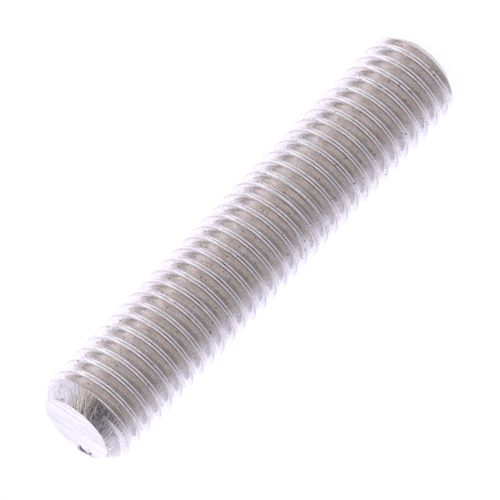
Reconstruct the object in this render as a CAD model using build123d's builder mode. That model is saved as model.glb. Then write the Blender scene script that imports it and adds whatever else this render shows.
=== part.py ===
# Metric stud bolt, threaded over its whole length, with a chamfer at each end.
# One turned and rolled piece of steel. It stands on its foot, with its axis on +Z.

import os
from math import ceil, radians, tan

from build123d import *

# Driving dimensions, in millimetres and degrees
length = 50.0
major_diameter = 9.74
pitch = 1.5
flank_angle = 60.0
crest_flat = 0.50
root_flat = 0.12
chamfer_depth = 1.245
chamfer_length = 1.62
first_crest = 0.447

# The flanks take what the two flats leave of one turn, and their angle gives the depth of the thread
flank_rise = (pitch - crest_flat - root_flat) / 2
thread_depth = flank_rise / tan(radians(flank_angle / 2))
crest_radius = major_diameter / 2
root_radius = crest_radius - thread_depth
face_radius = crest_radius - chamfer_depth

# Corners of one turn of the thread as radius and height: root flat, lower flank, crest flat, upper flank
corners = [
    (root_radius, 0),
    (root_radius, root_flat),
    (crest_radius, root_flat + flank_rise),
    (crest_radius, pitch - flank_rise),
    (root_radius, pitch),
]

# The bar runs past both ends of the stud, so that the ends are cut from a full thread. Its seam is on +X.
# A quarter turn short of the seam, on -Y, the middle of the lowest crest is at first_crest.
overrun = 2 * pitch
crest_middle = root_flat + flank_rise + crest_flat / 2
bar_foot = first_crest + pitch / 4 - crest_middle - overrun
turns = ceil((length + 2 * overrun) / pitch)
bar_top = bar_foot + turns * pitch

# One right-hand turn of each corner, and the four ruled helical faces between neighbouring corners
helices = [Edge.make_helix(pitch, pitch, radius, center=(0, 0, height)) for radius, height in corners]
one_turn = [Face.make_surface_from_curves(lower, upper) for lower, upper in zip(helices, helices[1:])]

# The turn repeated up the axis, which makes the whole wall of the threaded bar
bar_faces = []
for turn in range(turns):
    rise = Location((0, 0, bar_foot + turn * pitch))
    bar_faces += [face.moved(rise) for face in one_turn]

# Each end of the bar is a spiral ramp from the axis to the root helix, and the upright step that one turn
# of the ramp leaves at the seam. Both lie outside the finished stud.
axis_line = Edge.make_line((0, 0, 0), (0, 0, pitch))
ramp = Face.make_surface_from_curves(axis_line, helices[0])
with BuildSketch(Plane.XZ) as step:
    with BuildLine():
        Polyline((0, 0), *corners, (0, pitch), close=True)
    make_face()
for height in (bar_foot, bar_top):
    bar_faces += [face.moved(Location((0, 0, height))) for face in (ramp, step.sketch.face())]

threaded_bar = Solid(Shell(Face.sew_faces(bar_faces)[0]))

# The stud is what the threaded bar and a turned blank have in common. The blank is a little wider than
# the crests, so that only its end faces and its chamfers cut the thread.
blank_radius = crest_radius + crest_flat
blank_chamfer = (blank_radius - face_radius) * chamfer_length / chamfer_depth
with BuildPart() as stud:
    with BuildSketch(Plane.XZ):
        with BuildLine():
            Polyline(
                (0, 0),
                (face_radius, 0),
                (blank_radius, blank_chamfer),
                (blank_radius, length - blank_chamfer),
                (face_radius, length),
                (0, length),
                close=True,
            )
        make_face()
    revolve(axis=Axis.Z)
    add(threaded_bar, mode=Mode.INTERSECT)

stud.part.label = "stud"
os.makedirs("parts", exist_ok=True)
export_step(stud.part, "parts/stud.step")
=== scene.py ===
import math

import bpy
import numpy as np
from mathutils import Matrix, Vector


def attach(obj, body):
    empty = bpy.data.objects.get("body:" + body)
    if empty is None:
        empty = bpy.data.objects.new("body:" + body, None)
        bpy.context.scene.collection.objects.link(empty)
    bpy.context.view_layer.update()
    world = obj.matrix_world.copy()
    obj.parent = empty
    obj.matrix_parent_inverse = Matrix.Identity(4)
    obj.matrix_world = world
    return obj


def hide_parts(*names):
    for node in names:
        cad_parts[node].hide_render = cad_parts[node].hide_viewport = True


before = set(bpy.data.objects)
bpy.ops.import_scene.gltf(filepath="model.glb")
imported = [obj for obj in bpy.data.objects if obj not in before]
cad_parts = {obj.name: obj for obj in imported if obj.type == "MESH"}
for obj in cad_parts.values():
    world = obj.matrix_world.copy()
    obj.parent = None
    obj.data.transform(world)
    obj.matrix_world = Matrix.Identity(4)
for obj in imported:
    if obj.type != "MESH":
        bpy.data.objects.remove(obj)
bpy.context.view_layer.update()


# The stud: a length of bright steel bar, sawn off and pointed at both ends, then rolled
# between flat dies. They press the groove in and squeeze the metal up into the crest,
# where it meets in two thin lips with a fine seam between them. Sizes in millimetres.
full_turn = 2.0 * math.pi
millimetre = 0.001                      # in the scene's metres

stud_length = 50.0
crest_radius = 4.868
face_radius = 3.625
head_point, head_lean = 1.62, 0.17      # length of the ground point, and how much longer it is on +X
foot_point, foot_lean = 1.03, 0.25

pitch = 1.5
round_once = 30.0                       # about one turn of the thread
first_crest = 0.447                     # height of the lowest crest on -Y
back_to_x = 0.25                        # the turns are counted from +X, a quarter turn from -Y
thread_depth = 0.765
root_start = 0.70                       # distances across the thread, from the middle of the crest
upper_lip = 0.305
lower_lip = 0.275
seam_middle, seam_half = 0.008, 0.074
seam_depth = 0.055
seam_shut = ((196.0, 0.62), (10.0, 0.72))   # where it is shut: the side in degrees, and half its width

# The knocks: bruises at these turns, with their half lengths in turns, and nicks at these
# turns and distances across the thread, with their depths
bruises = ((13.02, 0.27), (14.0, 0.23), (14.86, 0.08))
bruise_push = 0.075                     # a bruise pushes the seam over,
bruise_spread = 0.06                    # spreads the upper lip
bruise_tilt = 0.16                      # and slopes its top
nick_long, nick_wide = 0.16, 0.12
nicks = ((29.90, 0.03, 0.10), (27.97, -0.02, 0.06), (4.05, 0.06, 0.10), (2.97, 0.0, 0.09), (30.88, 0.1, 0.08),
         (28.87, 0.1, 0.07), (31.86, 0.12, 0.08), (21.15, 0.05, 0.05), (12.92, -0.05, 0.06))


def soft_ramp(rise, softness):
    """Zero below zero and the number itself above it, with the corner rounded off:
    the softness times the logarithm of one plus the exponential of the ratio."""
    return softness * np.logaddexp(0.0, rise / softness)


def bump_at(distance, width):
    """A bell: the exponential of minus the square of the distance over the width."""
    return np.exp(-(distance / width) ** 2)


def shelf_at(distance, half):
    """A bell with a flat top: the exponential of minus the fourth power of the distance over the half width."""
    return np.exp(-(distance / half) ** 4)


def turned_from(angle, degrees):
    """What lies between an angle and a direction in degrees, from half a turn back to half a turn on."""
    return (angle - math.radians(degrees) + math.pi) % full_turn - math.pi


def wander(turn, slowest, fastest, seed):
    """A wavering line along the thread, about one either way: the sum of ten sine waves
    whose waves per turn and starting points come from a seeded dice."""
    sines = 10
    dice = np.random.default_rng(seed)
    waves = np.exp(dice.uniform(math.log(slowest), math.log(fastest), sines))
    start = dice.uniform(0.0, full_turn, sines)
    return np.sin(full_turn * turn[..., None] * waves + start).sum(-1) / math.sqrt(sines)


def stud_radius(angle, height):
    """Distance of the skin from the axis. The nearest turn of the crest gives the place
    along the helix and the distance across the thread. From the crest the radius falls by
    the flank's slope times the gap between two soft ramps, one at the lip's edge and one at
    the root. The bruises, the V-shaped seam, the lips' wavering and the nicks take their
    depths off it. The lips are pinched narrower towards +X, and the groove is shallower
    next to the points. Nowhere is the radius more than the cone of the nearer point, which
    is a little longer on the +X side and ragged where it meets the face."""
    lip_soft, root_soft, seam_soft = 0.02, 0.030, 0.12
    slow_waver, fast_waver, lip_uneven, lip_tilt = 0.016, 0.006, 0.005, 0.04
    upper_pinch, lower_pinch, pinch_start, pinch_length = 0.04, 0.07, 0.33, 0.37
    shallower, shallow_middle, shallow_width = 0.22, 0.85, 0.35
    ragged_depth, ragged_width = 1.5, 0.2

    progress = (height - first_crest) / pitch - angle / full_turn - back_to_x
    nearest = np.rint(progress)
    across = (progress - nearest) * pitch
    turn = nearest + angle / full_turn + back_to_x
    near_crest = np.cos(math.pi * across / pitch) ** 2
    across = across + near_crest * (slow_waver * wander(turn, 0.4, 5.0, 3)
                                    + fast_waver * wander(turn, 8.0, 40.0, 4))
    reach = np.abs(across)

    bruise = sum(shelf_at(turn - middle, half) for middle, half in bruises)
    pinch = ((np.cos(angle) - pinch_start) / pinch_length).clip(0.0, 1.0)
    pinch = pinch * pinch * (3.0 - 2.0 * pinch)
    lip = np.where(across > 0.0, upper_lip + bruise_spread * bruise - upper_pinch * pinch ** 3,
                   lower_lip - lower_pinch * pinch)
    flank_slope = thread_depth / (root_start - lip)
    fall = (soft_ramp(reach - lip, lip_soft) - soft_ramp(reach - root_start, root_soft)) * flank_slope
    fall = fall + bruise * near_crest ** 3 * (across - 0.02).clip(0.0) * bruise_tilt

    shut = sum(shelf_at(turned_from(angle, side), half) for side, half in seam_shut)
    seam = (seam_depth * (1.0 - 0.9 * shut) * (1.0 + 0.30 * wander(turn, 1.0, 14.0, 5))).clip(0.0)
    from_seam = np.abs(across - seam_middle + bruise_push * bruise)
    fall = fall + seam * soft_ramp(1.0 - from_seam / seam_half, seam_soft)
    fall = fall + near_crest ** 6 * (lip_uneven * (1.0 + wander(turn, 1.0, 16.0, 6)).clip(0.0)
                                     + across * lip_tilt * wander(turn, 1.0, 9.0, 7))
    for nick_turn, nick_across, nick_depth in nicks:
        along = (turn - nick_turn) * round_once
        fall = fall + nick_depth * bump_at(along, nick_long) * bump_at(across - nick_across, nick_wide)

    from_end = np.minimum(height, stud_length - height)
    fall = fall * (1.0 - shallower * bump_at(from_end - shallow_middle, shallow_width))
    ragged = 0.02 * np.sin(3.0 * angle + 1.0) + 0.016 * np.sin(11.0 * angle) + 0.012 * np.sin(29.0 * angle + 2.0)
    point = np.where(height > stud_length / 2.0, head_point + head_lean * np.cos(angle),
                     foot_point + foot_lean * np.cos(angle).clip(0.0))
    cone = (face_radius + from_end * (crest_radius - face_radius) / point
            + ragged_depth * ragged * bump_at(from_end, ragged_width))
    return np.minimum(crest_radius - fall.clip(0.0), cone)


def chip_depth(angle, radius):
    """How far the head's face dips below its plane: a broken-out chip near the rim, the
    lesser of a wall that rises outwards at 45 degrees and a floor that falls outwards, both
    wavy, within a flat-topped bell of the angle."""
    chip_side, chip_half = 128.0, 0.21
    wall_foot, floor_start, floor_slope = 3.56, 3.0, 1.2
    wavy = 0.10 * np.sin(13.0 * angle) + 0.07 * np.sin(31.0 * angle + 1.0) + 0.04 * np.sin(67.0 * angle)
    wall = (wall_foot + 0.4 * wavy - radius).clip(0.0)
    floor = ((radius - floor_start + 2.4 * wavy) * floor_slope).clip(0.0)
    return shelf_at(turned_from(angle, chip_side), chip_half) * np.minimum(wall, floor)


def round_axis(radius, angle, height):
    """Points about the axis: the radius times the angle's cosine and sine, and the height."""
    return np.stack([radius * np.cos(angle), radius * np.sin(angle), height], -1).reshape(-1, 3)


def squares_of(grid):
    """The four corners of each square of a grid of point numbers, taken round the square."""
    return np.stack([grid[:-1, :-1], grid[:-1, 1:], grid[1:, 1:], grid[1:, :-1]], -1).reshape(-1, 4)


def stud_skin():
    """The stud's skin as one closed mesh: rows that follow the helix between the two points,
    rings from there out over each point, and rings inwards over each face to its middle. A
    row that runs on into a point stops at the first ring there, which leaves squares with a
    corner or two twice, so only the triangles with three different corners are kept."""
    around = 104
    angles = full_turn * np.arange(around) / around
    rows = np.array([-0.67, -0.57, -0.36, -0.315, -0.285, -0.255, -0.21, -0.14, -0.09, -0.062, -0.03, 0.008,
                     0.045, 0.078, 0.105, 0.155, 0.23, 0.275, 0.305, 0.335, 0.38, 0.57, 0.67, 0.75])
    inwards = np.array([0.0, 0.01, 0.025, 0.045, 0.065, 0.085, 0.105, 0.125, 0.15, 0.18, 0.23, 0.35, 0.55,
                        0.75, 0.92])
    point_rings = 84
    rim_round = 0.008
    past_point = 0.2
    low_end, high_end = head_point + past_point, stud_length - head_point - past_point

    def on_skin(height):
        turned = np.broadcast_to(angles, height.shape)
        return round_axis(stud_radius(turned, height), turned, height)

    # The two first rings are numbered first, then the rows. Past a full turn, a row goes on
    # as the same row of the next turn up.
    low_ring, high_ring = np.arange(around), around + np.arange(around)
    turns = np.arange(-2, 35)
    level = (first_crest + pitch * (turns[:, None] + back_to_x) + rows).ravel()
    height = level[:, None] + pitch * angles / full_turn
    number = 2 * around + np.arange(height.size).reshape(height.shape)
    number[height <= low_end] = np.broadcast_to(low_ring, height.shape)[height <= low_end]
    number[height >= high_end] = np.broadcast_to(high_ring, height.shape)[height >= high_end]
    next_turn = np.full((len(level), 1), around)
    next_turn[:-len(rows), 0] = number[len(rows):, 0]
    squares = [squares_of(np.concatenate([number, next_turn], axis=1))]
    points = [on_skin(np.stack([np.full(around, low_end), np.full(around, high_end)])), on_skin(height)]
    count = 2 * around + height.size

    for at_head, first_ring in ((False, low_ring), (True, high_ring)):
        rise = np.linspace(low_end, 0.0, point_rings)[1:]
        height = (stud_length - rise if at_head else rise)[:, None] + np.zeros(around)
        cone = on_skin(height)
        rim = np.hypot(cone[-around:, 0], cone[-around:, 1]) - rim_round
        radius = rim * (1.0 - inwards)[:, None]
        turned = np.broadcast_to(angles, radius.shape)
        flat = stud_length - chip_depth(turned, radius) if at_head else np.zeros(radius.shape)
        face = round_axis(radius, turned, flat)
        middle = np.array([[0.0, 0.0, stud_length if at_head else 0.0]])
        points += [cone, face, middle]

        added = len(cone) + len(face)
        rings = np.concatenate([first_ring[None], count + np.arange(added).reshape(-1, around),
                                np.full((1, around), count + added)])
        sheet = squares_of(np.concatenate([rings, rings[:, :1]], axis=1))
        squares.append(sheet if at_head else sheet[:, ::-1])
        count += added + 1

    points, squares = np.concatenate(points), np.concatenate(squares)
    corners = np.concatenate([squares[:, [0, 1, 2]], squares[:, [0, 2, 3]]])
    first, second, third = corners.T
    corners = corners[(first != second) & (second != third) & (third != first)]
    used, corners = np.unique(corners, return_inverse=True)
    return points[used] * millimetre, corners.reshape(-1, 3)


def skin_mesh(name, points, corners):
    """A smooth mesh of triangles, from the points and the three corners of each."""
    mesh = bpy.data.meshes.new(name)
    mesh.vertices.add(len(points))
    mesh.vertices.foreach_set("co", points.ravel())
    mesh.loops.add(corners.size)
    mesh.loops.foreach_set("vertex_index", corners.ravel())
    mesh.polygons.add(len(corners))
    mesh.polygons.foreach_set("loop_start", 3 * np.arange(len(corners)))
    mesh.polygons.foreach_set("use_smooth", np.ones(len(corners), dtype=bool))
    mesh.update()
    mesh.validate()
    piece = bpy.data.objects.new(name, mesh)
    bpy.context.scene.collection.objects.link(piece)
    return piece


threaded_stud = skin_mesh("threaded_stud", *stud_skin())
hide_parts("stud")
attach(threaded_stud, "root")


class Level:
    """A shader socket that adds, subtracts, multiplies, divides and takes powers as a number does."""

    def __init__(self, tree, socket=None):
        self.tree, self.socket = tree, socket

    def node(self, kind, settings, sockets, output=0):
        """Add a node of a kind, make its settings, then fill its sockets with values or links."""
        made = self.tree.nodes.new("ShaderNode" + kind)
        for name, value in settings.items():
            setattr(made, name, value)
        for key, value in sockets.items():
            if isinstance(value, Level):
                self.tree.links.new(value.socket, made.inputs[key])
            else:
                made.inputs[key].default_value = value
        return Level(self.tree, made.outputs[output])

    def maths(self, operation, *values):
        return self.node("Math", {"operation": operation}, dict(enumerate(values)))

    def __add__(self, other): return self.maths("ADD", self, other)
    def __radd__(self, other): return self.maths("ADD", other, self)
    def __sub__(self, other): return self.maths("SUBTRACT", self, other)
    def __rsub__(self, other): return self.maths("SUBTRACT", other, self)
    def __mul__(self, other): return self.maths("MULTIPLY", self, other)
    def __rmul__(self, other): return self.maths("MULTIPLY", other, self)
    def __truediv__(self, other): return self.maths("DIVIDE", self, other)
    def __rtruediv__(self, other): return self.maths("DIVIDE", other, self)
    def __pow__(self, other): return self.maths("POWER", self, other)
    def __rpow__(self, other): return self.maths("POWER", other, self)
    def __abs__(self): return self.maths("ABSOLUTE", self)

    def between(self, low, high):
        """A smooth step from nothing at low to one at high, or the other way round if low is the larger."""
        if low > high:
            return 1.0 - self.between(high, low)
        limits = {"Value": self, "From Min": low, "From Max": high}
        return self.node("MapRange", {"interpolation_type": "SMOOTHSTEP"}, limits)

    def mix(self, nothing, all_of_it):
        """The one colour where this is nothing and the other where it is one."""
        return self.node("Mix", {"data_type": "RGBA"}, {0: self, 6: nothing, 7: all_of_it}, 2)

    def split(self, part):
        """One of the three numbers of a vector."""
        return self.node("SeparateXYZ", {}, {0: self}, part)

    def grain(self, across, along, third, fine, detail):
        """Noise of three numbers, about one half on average, at a scale."""
        place = self.node("CombineXYZ", {}, {0: across, 1: along, 2: third})
        return self.node("TexNoise", {"noise_dimensions": "3D"}, {"Vector": place, "Scale": fine, "Detail": detail})


def new_finish(name):
    """A new material, with its node tree and the Principled shader that it starts with."""
    finish = bpy.data.materials.new(name)
    finish.use_nodes = True
    return finish, finish.node_tree, finish.node_tree.nodes["Principled BSDF"]


steel, tree, shader = new_finish("bright_rolled_steel")
spot = Level(tree).node("TexCoord", {}, {}, "Object")
x, y, z = [spot.split(part) / millimetre for part in range(3)]
radius = (x * x + y * y) ** 0.5
to_x = x / radius

# The same places along and across the thread as in the mesh
part_turn = x.maths("ARCTAN2", y, x) / full_turn
progress = (z - first_crest) / pitch - part_turn - back_to_x
nearest = x.maths("ROUND", progress)
across = (progress - nearest) * pitch
reach = abs(across)
turn = nearest + part_turn + back_to_x

# Where the sawn faces, the ground points and the thread are
to_end = x.maths("MINIMUM", z, stud_length - z)
on_face = to_end.between(0.006, 0.001)
at_head = (z - stud_length / 2.0).between(-1.0, 1.0)
point = (at_head * (head_point + head_lean * to_x)
         + (1.0 - at_head) * (foot_point + foot_lean * x.maths("MAXIMUM", to_x, 0.0)))
under_cone = radius - face_radius - to_end * ((crest_radius - face_radius) / point)
on_cone = under_cone.between(-0.03, -0.006) * (1.0 - on_face)
on_thread = (1.0 - on_cone) * (1.0 - on_face)

# Parts of the thread: the root, the lips, the edge under each lip, the bruises and the seam.
# The root, the edge under each lip and the seam carry painted shade.
# The root is darker in the shade below: partly dirt, partly painted shade in the groove
in_root = radius.between(4.17, 4.12) * on_thread
on_crest = radius.between(4.70, 4.80) * on_thread
# Painted shade: a thin darker line along the edge under each lip
shade_under_lip = reach.between(0.26, 0.30) * reach.between(0.38, 0.33) * on_thread
knocked = sum(abs(turn - middle).between(half + 0.04, half - 0.03) for middle, half in bruises[:2])
bruised = knocked * across.between(-0.06, 0.0) * on_crest
from_seam = abs(across - seam_middle + bruise_push * knocked)
# The seam is darker where it faces ±Y and fades out towards ±X: partly oxide in the crevice, partly painted shade
in_seam = from_seam.between(0.07, 0.02) * abs(to_x).between(0.72, 0.50) * on_crest

# Painted shade that follows the sides: a dark patch along the lower lip and the root near +X on
# the -Y side, and a darker strip along -X. A cooler tint runs along -X as well.
below_crest = across.between(-0.50, -0.40)
lip_shade = across.between(-0.06, -0.14) * below_crest * x.between(3.0, 3.35)
root_shade = (1.0 - below_crest * across.between(0.68, 0.58)) * x.between(3.40, 3.62)
painted_side_shade = (lip_shade + 0.6 * root_shade) * x.between(3.92, 3.76) * y.maths("LESS_THAN", y, 0.0) * on_thread
# Painted shade: a darker strip along the -X side of the thread
painted_shade_strip = x.between(-3.6, -4.2) * on_thread
cool_strip = x.between(-2.7, -3.6) * on_thread * (1.0 - 0.9 * on_crest)
chip_slope = to_end - x.maths("MAXIMUM", radius - 3.60, 0.0) * 1.6
in_chip = chip_slope.between(0.03, 0.12) * radius.between(3.75, 3.70) * at_head

# Grain: streaks along the thread from the dies, blotches, mottling and specks of the steel
# itself, slanting scratches on the points from the grinder, and saw lines over the faces
rolled = x.grain(turn * 6.0, across * 14.0, 0.0, 1.0, 4.0)
blotch = x.grain(x, y, z, 1.1, 3.0)
mottle = x.grain(x, y, z, 6.5, 2.0)
speck = x.grain(x, y, z, 3.2, 1.0).between(0.70, 0.76)
slant = part_turn * full_turn - to_end * 0.19
ground = x.grain(x.maths("COSINE", slant) * 18.0, x.maths("SINE", slant) * 18.0, to_end * 1.1, 1.0, 5.0)
saw_angle = math.radians(28.0)
saw_cos, saw_sin = math.cos(saw_angle), math.sin(saw_angle)
sawn = x.grain((y * saw_cos - x * saw_sin) * 2.2, (x * saw_cos + y * saw_sin) * 0.12, z, 1.0, 5.0)

shade = 1.0 + (blotch - 0.5) * 0.22 + (rolled - 0.5) * 0.14 + (mottle - 0.5) * 0.72
# How much darker each place is. The root, the edge under the lips, the seam, the patch near +X and the strip along
# -X are partly or wholly painted shade
for darker, where in ((0.30, in_root), (0.42, in_seam), (0.20, shade_under_lip), (0.06, bruised), (0.26, painted_side_shade),
                      (0.09, painted_shade_strip), (0.65, speck * (1.0 - 0.6 * on_face)),
                      (1.0, on_face * (0.12 + 0.8 * (sawn - 0.5))), (1.0, on_cone * (0.06 + 0.7 * (ground - 0.5)))):
    shade = shade * (1.0 - darker * where)
# Painted highlight: the lips are lighter, more so within 14 mm of either end
shade = shade * (1.0 + on_crest * (0.02 + 0.07 * to_end.between(14.0, 5.0)))

steel_colour = blotch.between(0.42, 0.60).mix((0.70, 0.643, 0.565, 1.0), (0.70, 0.647, 0.597, 1.0))
for where, colour in ((on_crest * 0.8, (0.705, 0.647, 0.58, 1.0)), (cool_strip, (0.695, 0.655, 0.625, 1.0)),
                      (in_chip * 0.85, (0.20, 0.145, 0.11, 1.0))):
    steel_colour = where.mix(steel_colour, colour)
shaded = x.node("VectorMath", {"operation": "SCALE"}, {0: steel_colour, "Scale": shade})
tree.links.new(shaded.socket, shader.inputs["Base Color"])
shader.inputs["Metallic"].default_value = 1.0

roughness = 0.09 + 0.08 * (rolled - 0.5)
for rougher, where in ((0.10, in_root), (0.08, in_seam), (0.08, on_cone), (0.12, on_face), (0.30, speck),
                       (0.12, bruised)):
    roughness = roughness + rougher * where
tree.links.new(roughness.socket, shader.inputs["Roughness"])

relief = (((rolled - 0.5) * 0.004 + (blotch - 0.5) * 0.012 + (mottle - 0.5) * 0.006) * on_thread
          + (ground - 0.5) * 0.14 * on_cone + (sawn - 0.5) * 0.03 * on_face)
raised = x.node("Bump", {}, {"Strength": 1.0, "Distance": millimetre, "Height": relief})
tree.links.new(raised.socket, shader.inputs["Normal"])
threaded_stud.data.materials.append(steel)


# The table under it: a sheet of matt white card, twelve metres wide. To the camera it shines
# as white as the photograph's ground, and it still takes the stud's soft shadow.
card_half = 6.0
card_points = np.array([[-card_half, -card_half, 0.0], [card_half, -card_half, 0.0],
                        [card_half, card_half, 0.0], [-card_half, card_half, 0.0]])
card = skin_mesh("white_card", card_points, np.array([[0, 1, 2], [0, 2, 3]]))
card.visible_glossy = False
card_finish, card_tree, card_shader = new_finish("matt_white_card")
card_shader.inputs["Base Color"].default_value = (0.20, 0.20, 0.18, 1.0)
card_shader.inputs["Roughness"].default_value = 0.9
card_shader.inputs["Specular IOR Level"].default_value = 0.0
seen = Level(card_tree).node("LightPath", {}, {}, "Is Camera Ray")
lit_card = seen.node("Emission", {}, {"Color": (0.90, 0.90, 0.90, 1.0), "Strength": seen})
both = seen.node("AddShader", {}, {0: lit_card, 1: Level(card_tree, card_shader.outputs[0])})
card_tree.links.new(both.socket, card_tree.nodes["Material Output"].inputs["Surface"])
card.data.materials.append(card_finish)


# The pad that the foot stands on: a small round sheet of white paper. Only reflections show
# it, and it keeps the lower edge of the thread and the foot's point bright.
pad_radius = 6.0 * millimetre
pad_sides = 48
side = np.arange(pad_sides)
rim = round_axis(np.ones(pad_sides), full_turn * side / pad_sides, np.zeros(pad_sides))
pad_points = np.concatenate([np.zeros((1, 3)), rim]) * pad_radius
pad = skin_mesh("white_pad", pad_points, np.stack([0 * side, 1 + side, 1 + (1 + side) % pad_sides], -1))
pad.visible_camera = pad.visible_diffuse = pad.visible_shadow = False
pad_finish, pad_tree, _ = new_finish("white_paper")
mirrored = Level(pad_tree).node("LightPath", {}, {}, "Is Glossy Ray")
lit_pad = mirrored.node("Emission", {}, {"Color": (0.97, 0.965, 1.16, 1.0), "Strength": mirrored})
pad_tree.links.new(lit_pad.socket, pad_tree.nodes["Material Output"].inputs["Surface"])
pad.data.materials.append(pad_finish)


# The light: a white tent all round the stud, with soft dark openings in it that the flanks
# and the ground points mirror, and four soft lamps. To the camera the tent is plain white.
tent_brightness = 1.895
# Each opening: degrees sideways from the camera's side, degrees up, how narrow, how dark
openings = ((-14.0, 55.0, 1.16, 0.853), (-53.0, 10.0, 3.5, 0.55), (38.0, -89.0, 2.45, 1.0),
            (92.0, 7.0, 18.0, 0.40), (1.0, 50.0, 7.0, 0.86), (46.0, -31.0, 22.0, 0.26), (-80.0, -24.0, 9.0, 0.10))
# Each lamp: degrees sideways, degrees up, how narrow, its colour
lamps = ((46.0, 47.0, 190.0, (3.0, 2.4, 1.5)), (80.0, -25.0, 22.0, (0.20, 0.20, 0.22)),
         (-150.0, -52.0, 12.0, (0.80, 0.80, 0.94)), (90.0, -60.0, 8.0, (0.50, 0.50, 0.58)))
white = (1.0, 1.0, 1.0, 1.0)

tent = bpy.data.worlds.new("white_tent")
tent.use_nodes = True
bpy.context.scene.world = tent
tent_tree = tent.node_tree
way = Level(tent_tree).node("TexCoord", {}, {}, "Generated")


def near(sideways, up, narrow):
    """A soft round spot in the tent, one at its middle: the exponential of how narrow it is
    times the dot product of the way looked and the way to the middle, less one."""
    turned, lift = math.radians(sideways), math.radians(up)
    middle = (math.sin(turned) * math.cos(lift), -math.cos(turned) * math.cos(lift), math.sin(lift))
    nearness = way.node("VectorMath", {"operation": "DOT_PRODUCT"}, {0: way, 1: middle}, 1)
    return way.maths("EXPONENT", (nearness - 1.0) * narrow)


brightness = tent_brightness
for sideways, up, narrow, dark in openings:
    brightness = brightness * (1.0 - dark * near(sideways, up, narrow))
tint = way.split(1).between(-0.9, 0.0).mix((1.0, 0.99, 1.19, 1.0), (0.99, 1.005, 1.27, 1.0))
light = way.node("VectorMath", {"operation": "SCALE"}, {0: tint, "Scale": brightness})
for sideways, up, narrow, colour in lamps:
    lamp = way.node("VectorMath", {"operation": "SCALE"}, {0: colour, "Scale": near(sideways, up, narrow)})
    light = way.node("VectorMath", {"operation": "ADD"}, {0: light, 1: lamp})
camera_sees = way.node("LightPath", {}, {}, "Is Camera Ray")
sky = way.node("Background", {}, {"Color": camera_sees.mix(light, white), "Strength": 1.0})
tent_tree.links.new(sky.socket, tent_tree.nodes["World Output"].inputs["Surface"])


# The camera: a long lens, 24 degrees above the side of the stud, rolled so that the
# stud lies across the picture from its lower left to its upper right.
camera_lift = math.radians(24.06)
camera_roll = math.radians(136.45)
camera_distance = 413.9
aim = Vector((0.0, 0.0, 25.336))
aside, downwards = 0.0258, 0.2864       # the last of the framing, across and down the picture

level_right = Vector((1.0, 0.0, 0.0))
back = Vector((0.0, -math.cos(camera_lift), math.sin(camera_lift)))
upright = Vector((0.0, back.z, -back.y))
right = level_right * math.cos(camera_roll) - upright * math.sin(camera_roll)
picture_up = level_right * math.sin(camera_roll) + upright * math.cos(camera_roll)
place = (aim + back * camera_distance + right * aside - picture_up * downwards) * millimetre
lens = bpy.data.cameras.new("long_lens")
lens.sensor_width, lens.lens = 36.0, 325.1
lens.clip_start, lens.clip_end = 0.01, 50.0
camera = bpy.data.objects.new("camera", lens)
camera.matrix_world = Matrix(((right.x, picture_up.x, back.x, place.x),
                              (right.y, picture_up.y, back.y, place.y),
                              (right.z, picture_up.z, back.z, place.z),
                              (0.0, 0.0, 0.0, 1.0)))
bpy.context.scene.collection.objects.link(camera)
bpy.context.scene.camera = camera
bpy.context.scene.view_settings.view_transform = "Standard"
